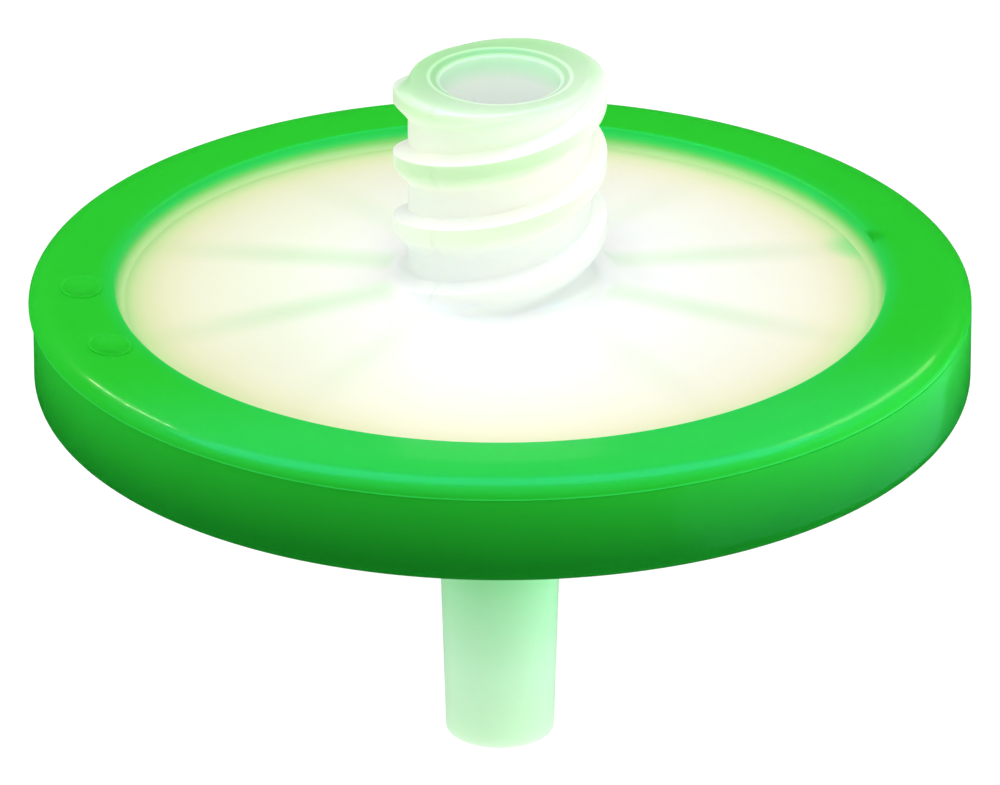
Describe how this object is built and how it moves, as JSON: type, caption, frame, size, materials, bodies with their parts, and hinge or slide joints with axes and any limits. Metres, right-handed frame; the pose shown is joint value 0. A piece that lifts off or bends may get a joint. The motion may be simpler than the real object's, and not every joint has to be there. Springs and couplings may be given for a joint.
{
  "type": "syringe filter",
  "caption": "Round syringe filter: pale plastic shells with a green moulded rim, a threaded Luer lock inlet on top and a tapered slip outlet below.",
  "frame": {"origin": "centre of the outlet tip's end face, on the axis of the filter", "axes": "+Z along the flow axis, from the outlet tip towards the threaded inlet"},
  "size_m": [0.034, 0.034, 0.0259],
  "materials": {
    "natural_polypropylene": "natural uncoloured polypropylene, milky and translucent, smooth from the mould",
    "green_polypropylene": "bright green polypropylene, slightly translucent, satin from the mould",
    "membrane": "white microporous cellulose ester film, matte"
  },
  "bodies": {
    "root": {"inlet_housing": "natural_polypropylene", "filter_membrane": "membrane", "outlet_housing": "natural_polypropylene", "sealing_rim": "green_polypropylene"}
  },
  "joints": []
}
